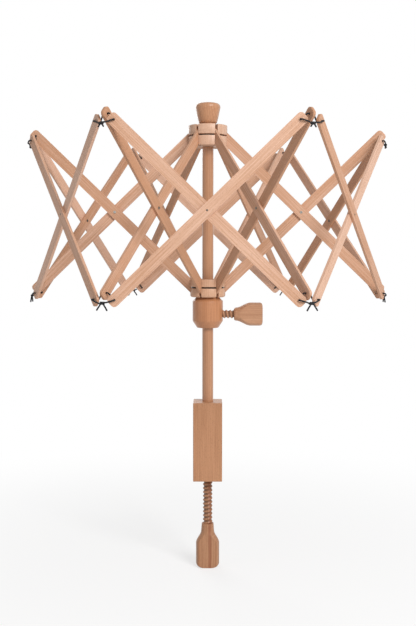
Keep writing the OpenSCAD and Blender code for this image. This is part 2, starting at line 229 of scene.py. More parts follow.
def sized_noise(tree, vector, size, detail=2.0, output="Fac"):
    """Noise whose grains have this size, in metres, along each axis of the vector."""
    stretched = work_out_vector(tree, "DIVIDE", vector, size)
    return add_node(tree, "TexNoise", {"Vector": stretched, "Scale": 1.0,
                                       "Detail": detail}).outputs[output]


def ramp(tree, value, low, high, out_low=0.0, out_high=1.0):
    """A smooth step of the value from low to high."""
    return add_node(tree, "MapRange", {"Value": value, "From Min": low, "From Max": high,
                                       "To Min": out_low, "To Max": out_high},
                    interpolation_type="SMOOTHSTEP").outputs["Result"]


def blended(tree, share, first, second):
    """A colour between the first and the second."""
    node = add_node(tree, "Mix", {"Factor": share}, data_type="RGBA")
    for entry, value in zip([s for s in node.inputs if s.type == "RGBA"], (first, second)):
        give(tree, entry, value)
    return [s for s in node.outputs if s.type == "RGBA"][0]


def make_beech():
    """Beech: growth rings round a pith beside the piece, long fibres and short dark flecks.
    The vector runs along the grain on X. End is 1 on end grain."""
    group = bpy.data.node_groups.new("beech", "ShaderNodeTree")
    for name, kind in (("Vector", "Vector"), ("Pale", "Color"), ("Deep", "Color"),
                       ("Fleck", "Color"), ("Ring", "Float"), ("Pith", "Vector"),
                       ("Rings shown", "Float"), ("Tone", "Float"), ("End", "Float"),
                       ("End depth", "Float"), ("Rough", "Float")):
        group.interface.new_socket(name=name, in_out="INPUT", socket_type=f"NodeSocket{kind}")
    for name, kind in (("Color", "Color"), ("Roughness", "Float"), ("Height", "Float")):
        group.interface.new_socket(name=name, in_out="OUTPUT", socket_type=f"NodeSocket{kind}")
    given = group.nodes.new("NodeGroupInput").outputs
    result = group.nodes.new("NodeGroupOutput")

    def add(first, second):
        return work_out(group, "ADD", first, second)

    def times(first, second):
        return work_out(group, "MULTIPLY", first, second)

    def times_plus(first, second, more):
        return work_out(group, "MULTIPLY_ADD", first, second, more)

    # The rings wander a little along the trunk
    place = given["Vector"]
    wander_size, wander_width = (0.14, 0.03, 0.03), 0.007
    wander = sized_noise(group, place, wander_size, output="Color")
    sideways = work_out_vector(group, "MULTIPLY_ADD", wander, (0.0, wander_width, wander_width),
                               (0.0, -wander_width / 2, -wander_width / 2))
    moved = work_out_vector(group, "ADD", place, sideways)
    from_pith = work_out_vector(group, "SUBTRACT", moved, given["Pith"])
    across = add_node(group, "SeparateXYZ", {0: from_pith}).outputs
    radius = work_out(group, "SQRT", add(times(across[1], across[1]), times(across[2], across[2])))
    phase = work_out(group, "FRACT", work_out(group, "DIVIDE", radius, given["Ring"]))
    # Late wood darkens slowly through a year and ends sharply
    late_starts, late_full = 0.25, 0.93
    late = times(ramp(group, phase, late_starts, late_full),
                 ramp(group, phase, late_full, 1.0, 1.0, 0.0))
    fibre_size, cloud_size = (0.05, 0.0008, 0.0008), (0.12, 0.014, 0.014)
    fleck_size = (0.0026, 0.00036, 0.00036)
    fibres = sized_noise(group, place, fibre_size, 3.0)
    cloud = sized_noise(group, place, cloud_size)
    flecks = ramp(group, sized_noise(group, place, fleck_size, 1.0), 0.6, 0.74)
    # The rings fade in places
    late = times(late, ramp(group, cloud, 0.25, 0.6, 0.35, 1.0))
    fibre_depth, cloud_depth, fleck_depth, paler = 0.5, 0.26, 0.5, -0.08
    depth = times(late, given["Rings shown"])
    depth = times_plus(ramp(group, fibres, 0.34, 0.66), fibre_depth, depth)
    depth = times_plus(ramp(group, cloud, 0.3, 0.7), cloud_depth, depth)
    depth = add(depth, add(given["Tone"], paler))
    depth = times_plus(given["End"], given["End depth"], depth)
    figure = blended(group, depth, given["Pale"], given["Deep"])
    fibre_rough, end_rough = 0.16, 0.1
    rough = times_plus(fibres, fibre_rough, given["Rough"])
    fibre_height, late_height, fleck_height = 0.6, 0.25, 0.35
    height = times_plus(fibres, fibre_height, times(late, late_height))
    feed(group, result, {
        "Color": blended(group, times(flecks, fleck_depth), figure, given["Fleck"]),
        "Roughness": times_plus(given["End"], end_rough, rough),
        "Height": work_out(group, "SUBTRACT", height, times(flecks, fleck_height))})
    return group


beech = make_beech()


def new_finish(name):
    """A new material, its nodes and its shader."""
    made = bpy.data.materials.new(name)
    made.use_nodes = True
    return made, made.node_tree, made.node_tree.nodes["Principled BSDF"]


def wood(name, pale, deep, fleck, ring, pith, rings_shown, grain="Z", end_depth=0.4,
         rough=0.3, wax=0.0):
    """An oiled or waxed beech finish. Its fibres run along the piece's Z or X, or as a sawn
    strip's own mesh says. The pith is a place in the trunk, whose fibres run along X."""
    made, tree, shader = new_finish(name)
    figure = add_node(tree, "Group", {
        "Pale": (*pale, 1), "Deep": (*deep, 1), "Fleck": (*fleck, 1), "Ring": ring, "Pith": pith,
        "Rings shown": rings_shown, "End depth": end_depth, "Rough": rough}, node_tree=beech)
    if grain == "own":
        for attribute, output, wanted in (("grain", "Vector", "Vector"),
                                          ("end_grain", "Fac", "End"), ("tone", "Fac", "Tone")):
            stored = add_node(tree, "Attribute", {}, attribute_name=attribute)
            feed(tree, figure, {wanted: stored.outputs[output]})
    else:
        along, turn = {"X": ((1, 0, 0), (0, 0, 0)), "Z": ((0, 0, 1), (0, pi / 2, 0))}[grain]
        where = add_node(tree, "TexCoord", {}).outputs
        laid = add_node(tree, "Mapping", {"Vector": where["Object"], "Rotation": turn})
        facing = work_out_vector(tree, "DOT_PRODUCT", where["Normal"], along)
        end = ramp(tree, work_out(tree, "ABSOLUTE", facing), 0.75, 0.98)
        feed(tree, figure, {"Vector": laid.outputs[0], "End": end})
    relief = add_node(tree, "Bump", {"Distance": 0.06 * MM, "Height": figure.outputs["Height"]})
    feed(tree, shader, {
        "Base Color": figure.outputs["Color"], "Roughness": figure.outputs["Roughness"],
        "Normal": relief.outputs[0], "Specular IOR Level": 0.3, "Coat Weight": wax,
        "Coat Roughness": 0.14})
    return made


def throat_corner(edge):
    return all(near(v.co.y, block_low.y + spine_depth) and
               (near(v.co.z, 0) or near(v.co.z, -throat_height)) for v in edge.verts)


bpy.ops.mesh.primitive_cube_add(
    size=1, location=(0, block_low.y + spine_depth / 2, (block_low.z + block_high.z) / 2),
    scale=(block_high.x - block_low.x, spine_depth, block_high.z - block_low.z))
fix_place()
edit()
for level in (0, -throat_height):
    take_all()
    bpy.ops.mesh.bisect(plane_co=(0, 0, level), plane_no=(0, 0, 1))
pick("faces", lambda f: f.normal.y > 0.9 and not -throat_height < f.calc_center_median().z < 0)
jaw_reach = block_high.y - block_low.y - spine_depth
bpy.ops.mesh.extrude_region_move(TRANSFORM_OT_translate={"value": (0, jaw_reach, 0)})
take_all()
bpy.ops.mesh.dissolve_limited(angle_limit=radians(1))
pick("edges", lambda e: not throat_corner(e))
bpy.ops.mesh.bevel(offset=block_ease, segments=4, profile=0.5, affect="EDGES")
block = done()
drill(block, screw_hole_d, (0, screw_y, block_low.z - MM), (0, screw_y, -throat_height + MM), 64)
drill(block, post_d, (0, 0, block_high.z - post_socket), (0, 0, block_high.z + MM), 64)
# The block's end grain, on its flat tops and undersides, is made much paler than its sides by an
# end depth below 0: a painted highlight for the light on its top face.
settle(block, "block", "stand", "clamp_block", wood(
    "block_beech", (0.49, 0.24, 0.122), (0.362, 0.163, 0.075), (0.17, 0.065, 0.028),
    ring=2.5 * MM, pith=(0, 0.05, 0.16), rings_shown=0.42, end_depth=-1.2, rough=0.28, wax=0.3))

# Clamp screw
# One turned piece of beech: a rod with a coarse cut thread, and a bottle-shaped knob that is
# planed flat on two sides to give the fingers a hold. It presses up under the table.
screw_low, screw_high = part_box("clamp_screw")
knob_length = 65.5 * MM
thread_depth = 1.7 * MM
neck_r, neck_ease, flare_r = 8.7 * MM, 0.5 * MM, 9.5 * MM
knob_half, flat_soft = 10 * MM, 0.9 * MM


def turned(profile, sides=96, bored=False):
    """Turns (radius, height) points round Z, from the first ring up. The profile of a bored
    piece closes on itself."""
    radius, height = profile[0]
    bpy.ops.mesh.primitive_circle_add(vertices=sides, radius=radius, location=(0, 0, height),
                                      fill_type="NOTHING" if bored else "NGON")
    edit()
    for next_radius, next_height in profile[1:]:
        bpy.ops.mesh.extrude_region_move(
            TRANSFORM_OT_translate={"value": (0, 0, next_height - height)})
        size = next_radius / radius
        bpy.ops.transform.resize(value=(size, size, 1), center_override=(0, 0, next_height))
        radius, height = next_radius, next_height
    take_all()
    bpy.ops.mesh.remove_doubles(threshold=MM / 1000)
    bpy.ops.mesh.normals_make_consistent(inside=False)
    piece = done()
    fix_place()
    return piece


def threaded_rod(crest_d, pitch, length):
    """A rod along Z from 0 to length with a right-handed thread, its crest a little round."""
    crest, root = crest_d / 2, crest_d / 2 - thread_depth
    foot, brow = root + 0.1 * thread_depth, crest - 0.12 * thread_depth
    outline = [(root, 0), (foot, 0.1), (brow, 0.38), (crest, 0.5), (brow, 0.62), (foot, 0.9),
               (root, 1)]
    bpy.ops.mesh.primitive_plane_add(size=MM)
    edit()
    bpy.ops.mesh.delete(type="VERT")
    rod = done()
    rod.data.from_pydata([(r, 0, share * pitch) for r, share in outline],
                         [(i, i + 1) for i in range(len(outline) - 1)], [])
    edit()
    bpy.ops.mesh.screw(steps=48, turns=int(length / pitch) + 3, center=(0, 0, 0), axis=(0, 0, 1))
    take_all()
    bpy.ops.mesh.remove_doubles(threshold=MM / 100)
    bpy.ops.transform.resize(value=(1, 1, -1), center_override=(0, 0, 0))
    bpy.ops.transform.translate(value=(0, 0, -pitch / 2))
    for level, way in ((length, 1), (0, -1)):
        take_all()
        bpy.ops.mesh.bisect(plane_co=(0, 0, level), plane_no=(0, 0, way), use_fill=True,
                            clear_outer=True)
    take_all()
    bpy.ops.mesh.normals_make_consistent(inside=False)
    return done()


def rounding(radius, height, inward, upward, steps):
    """A quarter of an ellipse, in by inward and up by upward from a point of a profile."""
    return [(radius - inward * (1 - cos(pi / 2 * i / steps)),
             height + upward * sin(pi / 2 * i / steps)) for i in range(1, steps + 1)]


def knob_profile(length, full_r, flare_start, flare_end, end_w, end_h):
    """A knob's outline from its neck: a flare, a straight body and a rounded end."""
    flare = [(flare_r + (full_r - flare_r) * (1 - cos(pi * i / 16)) / 2,
              flare_start + (flare_end - flare_start) * i / 16) for i in range(17)]
    body = [(full_r, flare_end + (length - end_h - flare_end) * i / 5) for i in range(1, 6)]
    end = rounding(full_r, length - end_h, end_w, end_h, 12)
    face = [((full_r - end_w) * share, length) for share in (0.75, 0.5, 0.25)]
    return [(neck_r - neck_ease, 0), (neck_r, neck_ease)] + flare + body + end + face


def plane_flats(piece):
    """Planes a knob flat on both sides along Y, with a sanded edge."""
    for vertex in piece.data.vertices:
        over = abs(vertex.co.y) - knob_half + flat_soft
        if over > 0:
            over = min(over, 2 * flat_soft)
            flat = knob_half - flat_soft + over - over * over / (4 * flat_soft)
            vertex.co.y = flat if vertex.co.y > 0 else -flat


def wooden_screw(crest_d, pitch, rod_length, outline):
    """A threaded rod from 0 up Z, with a flat-sided knob on its end."""
    screw = threaded_rod(crest_d, pitch, rod_length + MM)
    knob = turned(outline, sides=128)
    plane_flats(knob)
    knob.location.z = rod_length
    combine(screw, knob, "UNION")
    return screw


def paint_over(finish, share, colour):
    """Lays a colour over a finish, as thick as the share says."""
    base = finish.node_tree.nodes["Principled BSDF"].inputs["Base Color"]
    below = base.links[0].from_socket
    finish.node_tree.links.new(blended(finish.node_tree, share, below, (*colour, 1)), base)


def paint_thread_root_shade(finish, axis, across, crest_r, deep):
    """Darkens a thread's finish towards its root, in the plane across the rod: painted shade
    between the threads.
    """
    tree = finish.node_tree
    inner, outer = crest_r - 1.5 * MM, crest_r - 0.1 * MM
    where = add_node(tree, "TexCoord", {}).outputs["Object"]
    off_axis = work_out_vector(tree, "MULTIPLY", work_out_vector(tree, "SUBTRACT", where, axis),
                               across)
    radius = work_out_vector(tree, "LENGTH", off_axis)
    paint_over(finish, ramp(tree, radius, inner, outer, 0.8, 0.0), [0.35 * c for c in deep])


def redden(finish, x, width, heart):
    """Lays a wavy streak of red heartwood up a finish, at x."""
    tree = finish.node_tree
    where = add_node(tree, "TexCoord", {}).outputs["Object"]
    off = work_out_vector(tree, "SUBTRACT", where, (x, 0, 0))
    wave = work_out(tree, "MULTIPLY_ADD", sized_noise(tree, off, (0.006, 0.006, 0.05)),
                    2 * width, -width)
    apart = add_node(tree, "SeparateXYZ", {0: off}).outputs[0]
    far = work_out(tree, "ABSOLUTE", work_out(tree, "ADD", apart, wave))
    paint_over(finish, ramp(tree, far, 0.0, width, 0.75, 0.0), heart)


screw_d, screw_deep = 14 * MM, (0.315, 0.145, 0.072)
screw_finish = wood("screw_beech", (0.447, 0.228, 0.123), screw_deep, (0.2, 0.085, 0.04),
                    ring=3 * MM, pith=(0, 0.05, 0.06), rings_shown=0.6, rough=0.36, wax=0.05)
# Painted shade in the roots of the clamp screw's thread, then a real streak of red heartwood.
paint_thread_root_shade(screw_finish, (0, screw_y, 0), (1, 1, 0), screw_d / 2, screw_deep)
redden(screw_finish, 3.2 * MM, 3.2 * MM, (0.26, 0.09, 0.042))
screw = wooden_screw(screw_d, 5.8 * MM, screw_high.z - screw_low.z - knob_length, knob_profile(
    knob_length, full_r=17.1 * MM, flare_start=11 * MM, flare_end=30 * MM, end_w=6 * MM,
    end_h=6.5 * MM))
screw.rotation_euler.x = pi
screw.location = (0, screw_y, screw_high.z)
settle(screw, "pressing_screw", "clamp_screw", "clamp_screw", screw_finish)

# Post
# A straight beech dowel, glued into the block. Its thinner top end passes through the upper
# hub into the finial. It is carried over from the solid model.


def refinish(node, finish):
    """Gives its finish to a piece that is carried over from the solid model."""
    materials = frame["nodes"][node].data.materials
    materials.clear()
    materials.append(finish)


refinish("post", wood(
    "post_beech", (0.557, 0.283, 0.153), (0.39, 0.178, 0.086), (0.25, 0.105, 0.05),
    ring=2.6 * MM, pith=(0, 0.004, 0.05), rings_shown=0.35, rough=0.2, wax=0.45))

# Collar
# A turned beech stop that slides on the post. The thumb screw locks it, and the lower hub
# stands on it.
collar_low, collar_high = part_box("collar")
thumb_low, thumb_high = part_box("thumb_screw")
collar_r = (collar_high.x - collar_low.x) / 2
collar_h = collar_high.z - collar_low.z
thumb_z = (thumb_low.z + thumb_high.z) / 2
bore_r = 8.1 * MM
foot_in, foot_h, top_bevel = 6.5 * MM, 10 * MM, 5.5 * MM
thumb_hole_d = 13 * MM
collar = turned([(bore_r, 0), (collar_r - foot_in, 0), (collar_r, foot_h),
                 (collar_r, collar_h - top_bevel), (collar_r - top_bevel, collar_h),
                 (bore_r, collar_h), (bore_r, 0)], bored=True)
ease(collar, 0.7 * MM, segments=3, angle=25)
collar.location.z = collar_low.z
fix_place()
drill(collar, thumb_hole_d, (0, 0, thumb_z), (collar_r + MM, 0, thumb_z))
settle(collar, "stop_collar", "collar", "collar", wood(
    "collar_beech", (0.515, 0.235, 0.112), (0.375, 0.154, 0.068), (0.26, 0.1, 0.045),
    ring=3 * MM, pith=(0, -0.05, 0.12), rings_shown=0.22, rough=0.26, wax=0.25))

# Thumb screw
# A short beech screw of the same make as the clamp screw, with a knob like a paddle. It runs
# in through the collar's side and presses on the post.
thumb_d, thumb_deep = 12.4 * MM, (0.40, 0.195, 0.105)
paddle_length = 41 * MM
thumb_finish = wood("thumb_beech", (0.545, 0.30, 0.178), thumb_deep, (0.25, 0.11, 0.05),
                    ring=2.7 * MM, pith=(0, 0.04, 0.03), rings_shown=0.5, grain="X", rough=0.34)
# Painted shade in the roots of the thumb screw's thread.
paint_thread_root_shade(thumb_finish, (0, 0, thumb_z), (0, 1, 1), thumb_d / 2, thumb_deep)
screw = wooden_screw(thumb_d, 5.4 * MM, thumb_high.x - thumb_low.x - paddle_length, knob_profile(
    paddle_length, full_r=16.8 * MM, flare_start=2 * MM, flare_end=24 * MM, end_w=3.5 * MM,
    end_h=4 * MM))
screw.rotation_euler.y = pi / 2
screw.location = (thumb_low.x, 0, thumb_z)
settle(screw, "locking_screw", "thumb_screw", "thumb_screw", thumb_finish)

# Lower hub
# A turned drum that slides on the post, sawn with six slots for the up ribs. A wire lies in
# the groove round it and is the hinge pin of all six.
pins = {j["name"]: Vector(j["pos_m"]) for j in frame["joints"] if j["type"] == "hinge"}
slot_w = 4.1 * MM
slot_floor = 13.16 * MM
saw_length, saw_over = 40 * MM, 2 * MM
groove_half = 1.1 * MM
groove_r = 20.97 * MM
rib_pitch = 3.6 * MM
pale_fleck = (0.25, 0.11, 0.05)


def hub_drum(node, name, bore, wire_z, rim_round, round_steps, slot_side, finish):
    """A bored drum with a groove for its wire, its lower rim rounded, and six slots sawn to
    one side of the six spokes, where its ribs lie."""
    low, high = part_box(node)
    outer = max((high.x - low.x) / 2, high.y, -low.y)
    hub = turned([(bore, low.z), (outer, low.z), (outer, wire_z - groove_half),
                  (groove_r, wire_z - groove_half), (groove_r, wire_z + groove_half),
                  (outer, wire_z + groove_half), (outer, high.z), (bore, high.z),
                  (bore, low.z)], sides=120, bored=True)
    edit()
    pick("edges", lambda e: all(near(v.co.z, low.z) and near(v.co.xy.length, outer)
                                for v in e.verts))
    bpy.ops.mesh.bevel(offset=rim_round, segments=round_steps, affect="EDGES")
    done()
    slot_middle = Vector((slot_floor + saw_length / 2, slot_side * rib_pitch / 2,
                          (low.z + high.z) / 2))
    for i in range(6):
        bpy.ops.mesh.primitive_cube_add(
            size=1, location=Matrix.Rotation(radians(60 * i), 3, "Z") @ slot_middle,
            rotation=(0, 0, radians(60 * i)),
            scale=(saw_length, slot_w, high.z - low.z + 2 * saw_over))
        combine(hub, bpy.context.object, "DIFFERENCE")
    ease(hub, 0.35 * MM, segments=2, angle=50)
    settle(hub, name, node, node, finish)


lower_hub_finish = wood(
    "lower_hub_beech", (0.62, 0.375, 0.245), (0.47, 0.25, 0.145), pale_fleck,
    ring=2.6 * MM, pith=(0, 0.01, 0.09), rings_shown=0.25)
hub_drum("lower_hub", "lower_drum", bore_r, pins["lower_hub_travel"].z, rim_round=3 * MM,
         round_steps=6, slot_side=1, finish=lower_hub_finish)


def black_wire():
    """Annealed wire, worn to a dull grey in places."""
    made, tree, shader = new_finish("black_wire")
    where = add_node(tree, "TexCoord", {}).outputs["Object"]
    worn = ramp(tree, sized_noise(tree, where, (0.004, 0.004, 0.0012)), 0.5, 0.75)
    feed(tree, shader, {
        "Base Color": blended(tree, worn, (0.012, 0.011, 0.011, 1), (0.06, 0.055, 0.05, 1)),
        "Roughness": work_out(tree, "MULTIPLY_ADD", worn, 0.2, 0.35), "Metallic": 0.6})
    return made


wire_finish = black_wire()
refinish("lower_hub_wire", wire_finish)

# Upper hub
# The larger drum, which turns on the post's thinner top end and carries the six down ribs on
# a wire of its own.
spigot_bore_r = 6.1 * MM
upper_hub_finish = wood(
    "upper_hub_beech", (0.66, 0.43, 0.31), (0.51, 0.295, 0.185), pale_fleck,
    ring=2.6 * MM, pith=(0, -0.02, 0.09), rings_shown=0.22)
hub_drum("upper_hub", "upper_drum", spigot_bore_r, pins["fold"].z, rim_round=1.6 * MM,
         round_steps=3, slot_side=-1, finish=upper_hub_finish)
refinish("upper_hub_wire", wire_finish)

# Finial
# A turned beech knob with a bulging side and a narrow neck, glued on the end of the post. It
# keeps the upper hub from lifting off.
finial_low, finial_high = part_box("finial")
finial_h = finial_high.z - finial_low.z
neck_z, side_top = 4 * MM, 26 * MM
side_foot_r, side_spread, side_bulge, side_steps = 12.8 * MM, 5.1 * MM, 0.85, 10
crown_in, crown_up, dome_up = 4.5 * MM, 5.5 * MM, MM
side = [(side_foot_r + side_spread * (t / side_steps) ** side_bulge,
         neck_z + (side_top - neck_z) * t / side_steps) for t in range(side_steps + 1)]
side_top_r = side_foot_r + side_spread
dome_r = side_top_r - crown_in
crown = rounding(side_top_r, side_top, crown_in, crown_up, 12)
dome = rounding(dome_r, finial_h - dome_up, dome_r, dome_up, 6)[:-1]
neck = [(11.2 * MM, 0), (11 * MM, neck_z - 0.8 * MM)]
finial = turned(neck + side + crown + dome)
ease(finial, 0.3 * MM, segments=2, angle=35)
finial.location.z = finial_low.z
settle(finial, "top_knob", "stand", "finial", wood(
    "finial_beech", (0.53, 0.272, 0.145), (0.40, 0.185, 0.092), (0.26, 0.11, 0.05),
    ring=2.6 * MM, pith=(0, 0.02, 0.06), rings_shown=0.4, rough=0.26, wax=0.25))

# Ribs
# Twelve sawn strips of pale beech with blunt ends and rounded corners. A down rib and an up
# rib cross like scissors at each of six places, and a steel rivet joins each pair.
strip_w, strip_t = 15 * MM, 3.5 * MM
end_over, end_corner = 7.5 * MM, 5 * MM
tie_hole_d, rivet_hole_d = 2.8 * MM, 2.3 * MM
arm = (pins["bottom_tie_1_tilt"] - pins["fold"]).length
dice = Random(11)


def sawn_strip():
    """A strip along X from its first hole, as thick along Y as the wood."""
    middle = (arm / 2, 0, -strip_t / 2)
    bpy.ops.mesh.primitive_plane_add(size=1, location=middle)
    edit()
    bpy.ops.transform.resize(value=(arm + 2 * end_over, strip_w, 1), center_override=middle)
    done()
    fix_place()
    edit()
    bpy.ops.mesh.bevel(offset=end_corner, segments=8, profile=0.5, affect="VERTICES")
    take_all()
    bpy.ops.mesh.extrude_region_move(TRANSFORM_OT_translate={"value": (0, 0, strip_t)})
    take_all()
    bpy.ops.mesh.normals_make_consistent(inside=False)
    strip = done()
    for x, hole_d in ((0, tie_hole_d), (arm / 2, rivet_hole_d), (arm, tie_hole_d)):
        drill(strip, hole_d, (x, 0, -strip_t), (x, 0, strip_t), 32)
    ease(strip, 0.4 * MM, segments=2, angle=50)
    strip.data.transform(Matrix.Rotation(pi / 2, 4, "X"))
    smooth(strip)
    return strip


def add_piece(name, mesh, body, node):
    """A piece of a mesh that is finished and in its place."""
    piece = bpy.data.objects.new(name, mesh)
    bpy.context.scene.collection.objects.link(piece)
    hang(piece, name, body, node)


def lay_strip(name, start, way, across, node, tone):
    """A copy of the strip from start along way, with its own grain and tone."""
    mesh = strip_master.data.copy()
    # Each strip is sawn from its own place in the trunk
    shift = Vector((dice.uniform(0, 9), dice.uniform(-0.05, 0.05), dice.uniform(-0.05, 0.05)))
    grain = mesh.attributes.new("grain", "FLOAT_VECTOR", "POINT")
    grain.data.foreach_set("vector", [x for v in mesh.vertices for x in (v.co + shift)])
    tones = mesh.attributes.new("tone", "FLOAT", "POINT")
    tones.data.foreach_set("value", [tone] * len(mesh.vertices))
    # End grain shows on faces that turn towards the strip's ends
    ends = mesh.attributes.new("end_grain", "FLOAT", "FACE")
    ends.data.foreach_set("value", [max(0.0, abs(face.normal.x) * 1.4 - 0.4)
                                    for face in mesh.polygons])
    way, across = way.normalized(), across.normalized()
    turn = Matrix((way, across, way.cross(across))).transposed().to_4x4()
    mesh.transform(Matrix.Translation(start) @ turn)
    add_piece(name, mesh, node, node)


strip_master = sawn_strip()
strip_master.data.materials.append(wood(
    "strip_beech", (0.68, 0.435, 0.316), (0.49, 0.255, 0.145), pale_fleck, ring=2.1 * MM,
    pith=(0, 0.12, 0.12), rings_shown=0.28, grain="own", rough=0.42))
for i in range(6):
    around = Matrix.Rotation(radians(60 * i), 3, "Z")
    across = around @ Vector((0, 1, 0))
    for kind, side, hub_pin, rim_pin in (
            ("down", -1, pins["fold"], pins["bottom_tie_1_tilt"]),
            ("up", 1, pins["lower_hub_travel"], pins["top_tie_1_tilt"])):
        lay_strip(f"{kind}_strip_{i + 1}", around @ hub_pin + side * rib_pitch / 2 * across,
                  around @ (rim_pin - hub_pin), across, f"{kind}_rib_{i + 1}",
                  dice.uniform(-0.05, 0.75))

# Slats
# Twelve more strips of the same make, in crossed pairs between the rib tips. Which of a pair
# lies outermost changes from one cell to the next. The fall slats are a little darker.
rib_fall = pins["fold"].z - pins["lower_hub_travel"].z
rib_run = sqrt(arm ** 2 - rib_fall ** 2)
for i in range(6):
    around = Matrix.Rotation(radians(60 * i + 30), 3, "Z")
    outward = around @ Vector((1, 0, 0))
    for kind, rise, darker in (("rise", 1, 0), ("fall", -1, 0.4)):
        node = f"{kind}_slat_{i + 1}"
        lay_strip(f"{kind}_strip_{i + 1}", pins[f"{node}_hinge"],
                  around @ Vector((0, rib_run, rise * rib_fall)), outward, node,
                  dice.uniform(-0.28, 0.08) + darker)
bpy.data.objects.remove(strip_master)

# Rivets
# Short steel rivets at the crossings. A rib's rivet has a flat dull head and a rolled end
# with a dark hollow. A slat's pin shows only a small clinched end outside, its steel painted
# near black: painted shade that stands for a shadowed hollow in the pin's end.
grip = rib_pitch + 0.05 * MM
shank_r, head_r, head_edge = 1.1 * MM, 2 * MM, 0.35 * MM


def rivet_steel(name, bright, dark):
    """Dull steel with dark stains."""
    made, tree, shader = new_finish(name)
    where = add_node(tree, "TexCoord", {}).outputs["Object"]
    stain = ramp(tree, sized_noise(tree, where, (0.0009, 0.0009, 0.0009), 3.0), 0.4, 0.75)
    feed(tree, shader, {"Base Color": blended(tree, stain, (*bright, 1), (*dark, 1)),
                        "Roughness": work_out(tree, "MULTIPLY_ADD", stain, 0.3, 0.34),
                        "Metallic": 0.85})
    return made


head = [(shank_r, -grip), (shank_r, grip), (head_r, grip), (head_r, grip + head_edge),
        (1.8 * MM, grip + 0.6 * MM), (0.6 * MM, grip + 0.68 * MM)]
rolled = [(0.75 * MM, -grip + 0.6 * MM), (0.8 * MM, -grip - 0.1 * MM),
          (1.0 * MM, -grip - 0.45 * MM), (1.3 * MM, -grip - 0.62 * MM),
          (1.65 * MM, -grip - 0.5 * MM), (1.9 * MM, -grip - 0.2 * MM), (1.95 * MM, -grip)]
clinched = [(0.3 * MM, -grip - 0.3 * MM), (0.9 * MM, -grip - 0.24 * MM),
            (1.25 * MM, -grip - 0.05 * MM), (1.3 * MM, -grip)]
dimmer_steel = rivet_steel("tarnished_rivet_steel", (0.24, 0.22, 0.19), (0.06, 0.05, 0.04))
masters = {}
for kind, end, bright, dark in (
        ("rib", rolled, (0.46, 0.46, 0.43), (0.17, 0.15, 0.13)),
        # The slat pins' steel is painted near black: painted shade for a hollow end.
        ("slat", clinched, (0.14, 0.12, 0.10), (0.03, 0.024, 0.02))):
    masters[kind] = turned(end + head, sides=32)
    bpy.ops.object.shade_smooth_by_angle(angle=radians(45))
    masters[kind].data.materials.append(rivet_steel(f"{kind}_rivet_steel", bright, dark))
for i in range(6):
    for kind, body, first_angle in (("rib", "down_rib", 90), ("slat", "rise_slat", 210)):
        node = f"{kind}_rivet_{i + 1}"
        corner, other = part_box(node)
        way = Matrix.Rotation(radians(60 * i + first_angle), 3, "Z") @ Vector((1, 0, 0))
        mesh = masters[kind].data.copy()
        mesh.transform(Matrix.Translation((corner + other) / 2)
                       @ way.to_track_quat("Z", "Y").to_matrix().to_4x4())
        # Four of the six rib rivets get a darker steel than the other two.
        if kind == "rib" and i % 3:
            mesh.materials[0] = dimmer_steel
        add_piece(f"{kind}_pin_{i + 1}", mesh, f"{body}_{i + 1}", node)
for master in masters.values():
    bpy.data.objects.remove(master)

# Cord ties
# A black braided cord through the rib's tip and both slat ends at each corner of the cage,
# twisted into a knot between them, with two short loose ends.
cord_r = MM
slat_drop, slat_out, slat_gap = 8 * MM, 8 * MM, 11 * MM
knot_out, knot_drop, knot_half, coil_r = 8.5 * MM, 4 * MM, 2.6 * MM, 1.05 * MM
turn_air, turn_past, turn_drop = 1.5 * MM, 9.5 * MM, 2.8 * MM
reach = strip_t + 1.2 * MM
rim = pins["top_tie_1_tilt"].x


def black_cord():
    """Two sets of strands that wind against each other along the cord's own UV map."""
    made, tree, shader = new_finish("black_cord")
    along = add_node(tree, "UVMap", {}, uv_map="cord").outputs[0]
    parts = add_node(tree, "SeparateXYZ", {0: along}).outputs
    braid_length, strands_round = 1.5 * MM, 3.0
    strands = []
    for lean in (strands_round, -strands_round):
        turn = work_out(tree, "MULTIPLY_ADD", parts[1], lean,
                        work_out(tree, "MULTIPLY", parts[0], 1 / braid_length))
        strands.append(work_out(tree, "SINE", work_out(tree, "MULTIPLY", turn, tau)))
    braid = work_out(tree, "MAXIMUM", *strands)
    where = add_node(tree, "TexCoord", {}).outputs["Object"]
    fuzz = sized_noise(tree, where, (0.0004, 0.0004, 0.0004))
    # The braid is painted lighter on its crests and darker in its grooves, as its relief: painted
    # sheen and painted shade, with a real fuzz of fibres mixed in.
    crest = ramp(tree, work_out(tree, "ADD", braid, fuzz), 0.2, 1.5)
    relief = add_node(tree, "Bump", {"Distance": 0.12 * MM, "Height": braid})
    feed(tree, shader, {
        "Base Color": blended(tree, crest, (0.004, 0.004, 0.005, 1), (0.022, 0.022, 0.024, 1)),
        "Normal": relief.outputs[0], "Roughness": 0.7, "Specular IOR Level": 0.25})
    return made


def smooth_path(points, each=6):
    """A Catmull-Rom curve through the points."""
    path = []
    ends = [points[0] * 2 - points[1], *points, points[-1] * 2 - points[-2]]
    for a, b, c, d in zip(ends, ends[1:], ends[2:], ends[3:]):
        for step in range(each):
            t = step / each
            path.append(0.5 * (2 * b + (c - a) * t + (2 * a - 5 * b + 4 * c - d) * t ** 2
                               + (3 * b - a - 3 * c + d) * t ** 3))
    return path + [points[-1]]


